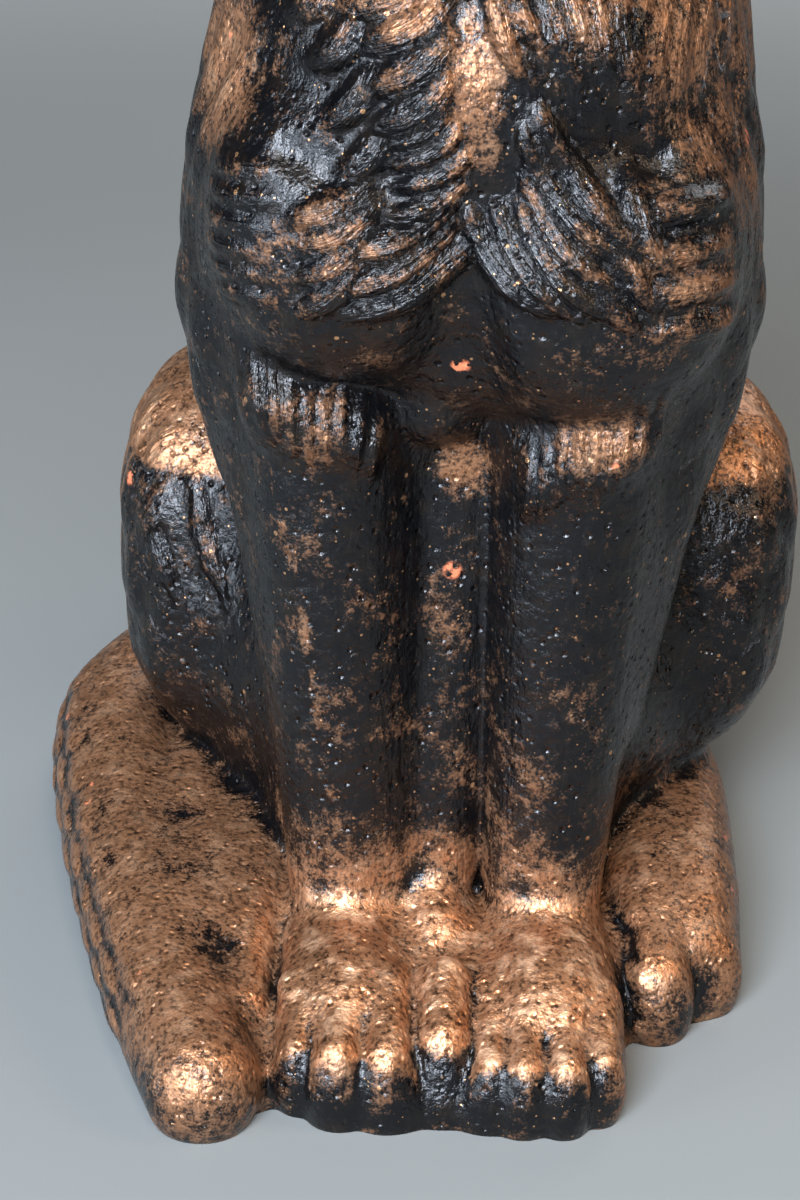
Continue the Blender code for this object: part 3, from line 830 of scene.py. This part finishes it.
def rubbed_paint():
    """A rubbed coat of paint: it takes on what stands out, and breaks up where it is thin."""
    inputs = (("Place", "place"), ("Amount", "value"), ("Edge", "value"), ("Softness", "value"))
    group, wires, given, out = new_group("rubbed paint", inputs, (("Mask", "value"),))
    clouds = wires.noise(given["Place"], 140.0, 4.0, 0.6)
    dabs = wires.noise(given["Place"], 700.0, 5.0, 0.65)
    grain = wires.noise(given["Place"], 2600.0, 2.0, 0.6)
    rough = wires.maths("ADD", wires.maths("MULTIPLY", clouds, 1.3), wires.maths("MULTIPLY", dabs, 1.1))
    rough = wires.maths("ADD", rough, wires.maths("MULTIPLY", grain, 0.7))
    caught = wires.maths("MULTIPLY_ADD", given["Edge"], 0.16, given["Amount"])
    sum_up = wires.maths("ADD", rough, caught)
    low = wires.maths("SUBTRACT", 2.0, given["Softness"])
    high = wires.maths("ADD", 2.0, given["Softness"])
    wires.feed(out["Mask"], wires.between(sum_up, low, high))
    return group


BLACK_ENAMEL = (0.0018, 0.0018, 0.0022, 1)
BROWNED_BLACK = (0.007, 0.0045, 0.003, 1)
DARK_BRONZE = (0.085, 0.042, 0.023, 1)
BRONZE_PAINT = (0.42, 0.2, 0.098, 1)
PALE_BRONZE = (0.78, 0.47, 0.28, 1)
GOLD_SPECK = (0.5, 0.27, 0.13, 1)
RUST = (0.44, 0.13, 0.06, 1)
METAL_IN_BRONZE = 0.85
ENAMEL_IOR = 1.38

# How fine each effect is: how many of its cells or waves go into a metre
FLECKS, DOTS, RUST_SPOTS, RUST_CRUMBS = 1900.0, 750.0, 190.0, 900.0
TONES, FINE_TONES, GLOSS = 260.0, 1300.0, 700.0
HAIRS, STREAKS, SAND = 1000.0, 700.0, 700.0
DRAWN_DOWN = (1, 1, 0.22)  # streaks are drawn out down the casting
DEEPEST_BUMP = 0.0008  # metres


def paint_masks(wires, place, drawn_down, amount, edge):
    """Where bronze, gold flecks and rust lie: three masks."""
    specks, paint = scattered_specks(), rubbed_paint()
    rubbed = wires.use(paint, place=place, amount=amount, edge=edge, softness=0.26)["Mask"]
    streaks = wires.use(paint, place=drawn_down, amount=amount, edge=edge, softness=0.24)["Mask"]
    streaky = wires.maths("MULTIPLY", rubbed, streaks)
    bronze = wires.maths("MAXIMUM", streaky, wires.maths("MULTIPLY", rubbed, 0.72))
    fine = wires.use(specks, place=place, scale=FLECKS, share=0.05, size=0.3)["Mask"]
    dots = wires.use(specks, place=place, scale=DOTS, share=0.025, size=0.26)["Mask"]
    rusty = wires.between(amount, 0.3, 0.7, 0.015, 0.16)
    rust = wires.use(specks, place=place, scale=RUST_SPOTS, share=rusty, size=0.24)["Mask"]
    crumbled = wires.between(wires.noise(place, RUST_CRUMBS, 4.0), 0.42, 0.56)
    return bronze, wires.maths("MAXIMUM", fine, dots), wires.maths("MULTIPLY", rust, crumbled)


def paint_colour(wires, tone, fine_tone, amount, bronze, flecks, rust):
    """Black browned in places, under bronze that is paler where it is thick, flecks and rust."""
    black = wires.blend(wires.between(tone, 0.45, 0.75), BLACK_ENAMEL, BROWNED_BLACK)
    thick = wires.between(amount, 0.2, 0.75, 0.5, 1.0)
    covered = wires.maths("MULTIPLY", wires.between(fine_tone, 0.34, 0.54), thick)
    polished = wires.between(amount, 0.5, 0.85, 0.2, 1.0)
    pale = wires.maths("MULTIPLY", wires.between(tone, 0.46, 0.7), polished)
    copper = wires.blend(pale, wires.blend(covered, DARK_BRONZE, BRONZE_PAINT), PALE_BRONZE)
    colour = wires.blend(bronze, black, copper)
    colour = wires.blend(wires.maths("MULTIPLY", flecks, 0.85), colour, GOLD_SPECK)
    return wires.blend(rust, colour, RUST)


def skin_height(wires, place, drawn_down):
    """The sand-cast grain, with streaks down the casting and hairs along the locks."""
    lock = wires.attribute("lock")
    hairs = wires.noise(wires.attribute("hair", "Vector"), HAIRS, 3.0, 0.6)
    streaks = wires.noise(drawn_down, STREAKS, 3.0, 0.6)
    height = wires.use(cast_grain(), place=place, scale=SAND, pits=0.5)["Height"]
    height = wires.maths("MULTIPLY_ADD", wires.maths("MULTIPLY", hairs, lock), 1.6, height)
    return wires.maths("MULTIPLY_ADD", streaks, 0.5, height)


def bronzed_iron():
    """Black enamel over cast iron, with copper bronze rubbed on, flecks of gold and spots of rust."""
    material = bpy.data.materials.new("bronzed black iron")
    material.use_nodes = True
    wires = Wires(material.node_tree)
    shader = material.node_tree.nodes["Principled BSDF"]
    place = wires.node("ShaderNodeTexCoord").outputs["Object"]
    stretch = wires.node("ShaderNodeMapping")
    stretch.inputs["Scale"].default_value = DRAWN_DOWN
    wires.feed(stretch.inputs["Vector"], place)
    drawn_down = stretch.outputs[0]
    edge, amount = wires.attribute("edge"), wires.attribute("bronze")
    tone = wires.noise(place, TONES, 5.0, 0.65)
    fine_tone = wires.noise(place, FINE_TONES, 3.0, 0.6)

    bronze, flecks, rust = paint_masks(wires, place, drawn_down, amount, edge)
    colour = paint_colour(wires, tone, fine_tone, amount, bronze, flecks, rust)
    wires.feed(shader.inputs["Base Color"], colour)

    metal = wires.maths("MULTIPLY", wires.maths("MAXIMUM", bronze, flecks), METAL_IN_BRONZE)
    unrusted = wires.maths("SUBTRACT", 1.0, rust)
    wires.feed(shader.inputs["Metallic"], wires.maths("MULTIPLY", metal, unrusted))
    on_black = wires.between(wires.noise(place, GLOSS, 3.0), 0.3, 0.7, 0.17, 0.3)
    on_bronze = wires.between(tone, 0.3, 0.7, 0.34, 0.5)
    roughness = wires.node("ShaderNodeMix", data_type="FLOAT")
    for socket, value in zip((0, 2, 3), (bronze, on_black, on_bronze)):
        wires.feed(roughness.inputs[socket], value)
    wires.feed(shader.inputs["Roughness"], roughness.outputs[0])
    shader.inputs["IOR"].default_value = ENAMEL_IOR

    bump = wires.node("ShaderNodeBump")
    bump.inputs["Strength"].default_value = 0.8
    bump.inputs["Distance"].default_value = DEEPEST_BUMP
    wires.feed(bump.inputs["Height"], skin_height(wires, place, drawn_down))
    wires.feed(shader.inputs["Normal"], bump.outputs[0])
    return material


BACKDROP = (0.5, 0.53, 0.56, 1)  # the pale studio behind, as the camera sees it
FLOOR_FADES = 0.28, 0.9  # metres from the cat over which the floor turns into the backdrop
FLOOR_HALF = 3.0  # metres
PAPER_TONES = (0.14, 0.15, 0.145, 1), (0.16, 0.17, 0.165, 1)
NO_LIGHT = (0, 0, 0, 1)


def pale_floor():
    """A wide pale floor of matt paper that fades into the backdrop."""
    mesh = bpy.data.meshes.new("floor")
    corners = [(x * FLOOR_HALF, y * FLOOR_HALF, 0) for x, y in ((-1, -1), (1, -1), (1, 1), (-1, 1))]
    mesh.from_pydata(corners, [], [(0, 1, 2, 3)])
    floor = bpy.data.objects.new("floor", mesh)
    bpy.context.scene.collection.objects.link(floor)
    material = bpy.data.materials.new("pale paper")
    material.use_nodes = True
    wires = Wires(material.node_tree)
    shader = material.node_tree.nodes["Principled BSDF"]
    place = wires.node("ShaderNodeTexCoord").outputs["Object"]
    wires.feed(shader.inputs["Base Color"], wires.blend(wires.noise(place, 6.0), *PAPER_TONES))
    shader.inputs["Roughness"].default_value = 0.85
    away = wires.node("ShaderNodeVectorMath", operation="LENGTH")
    wires.feed(away.inputs[0], place)
    far = wires.between(away.outputs["Value"], *FLOOR_FADES)
    seen = wires.node("ShaderNodeLightPath").outputs["Is Camera Ray"]
    faded = wires.blend(wires.maths("MULTIPLY", far, seen), NO_LIGHT, BACKDROP)
    wires.feed(shader.inputs["Emission Color"], faded)
    shader.inputs["Emission Strength"].default_value = 1
    mesh.materials.append(material)
    return floor


def facing_cat(place):
    return (CAT_MIDDLE - Vector(place)).to_track_quat("-Z", "Y").to_matrix()


def soft_light(name, place, size, power, colour):
    """A square soft box that faces the cat's middle."""
    light = bpy.data.lights.new(name, "AREA")
    light.size = size
    light.energy = power
    light.color = colour
    box = bpy.data.objects.new(name, light)
    box.matrix_world = Matrix.Translation(place) @ facing_cat(place).to_4x4()
    bpy.context.scene.collection.objects.link(box)


ROOM_LIGHT = (0.033, 0.034, 0.036, 1)  # what the room gives the cat
# The soft boxes: where each hangs, its side in metres, its watts and its colour
SOFT_BOXES = {
    "window": ((-0.2, -0.74, 0.5), 0.42, 30, (0.78, 0.86, 1)),
    "overhead_key": ((0.06, -0.5, 0.82), 0.24, 4, (1, 0.9, 0.78)),
    "warm_side": ((0.6, -0.2, 0.5), 0.25, 2.4, (1, 0.72, 0.48)),
    "cool_side": ((-0.62, -0.42, 0.16), 0.3, 5, (0.74, 0.85, 1)),
    "back_fill": ((0.3, 0.8, 0.6), 0.6, 4, (0.95, 0.97, 1)),
}
CAT_MIDDLE = Vector((0, 0, 0.11))


def studio():
    world = bpy.data.worlds.new("studio")
    world.use_nodes = True
    wires = Wires(world.node_tree)
    back = world.node_tree.nodes["Background"]
    seen = wires.node("ShaderNodeLightPath").outputs["Is Camera Ray"]
    wires.feed(back.inputs["Color"], wires.blend(seen, ROOM_LIGHT, BACKDROP))
    bpy.context.scene.world = world
    bpy.context.scene.view_settings.view_transform = "Standard"
    for name, box in SOFT_BOXES.items():
        soft_light(name, *box)


# The camera
CAMERA_PLACE = (-0.007, -0.491, 0.3)
LOOKS_DOWN = 27  # degrees
ROLL = 1.6  # degrees
LENS = 114  # millimetres, as is the sensor's side
SENSOR = 36


def camera():
    lens = bpy.data.cameras.new("camera")
    lens.lens = LENS
    lens.sensor_fit = "VERTICAL"
    lens.sensor_width = lens.sensor_height = SENSOR
    lens.clip_start = 0.01
    eye = bpy.data.objects.new("camera", lens)
    down = Matrix.Rotation(math.radians(90 - LOOKS_DOWN), 4, "X")
    roll = Matrix.Rotation(math.radians(ROLL), 4, "Z")
    eye.matrix_world = Matrix.Translation(CAMERA_PLACE) @ down @ roll
    bpy.context.scene.collection.objects.link(eye)
    bpy.context.scene.camera = eye


def main():
    camera()
    studio()
    pale_floor()
    piece = cast_cat()
    piece.data.materials.append(bronzed_iron())
    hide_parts("cat")
    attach(piece, "root")


main()
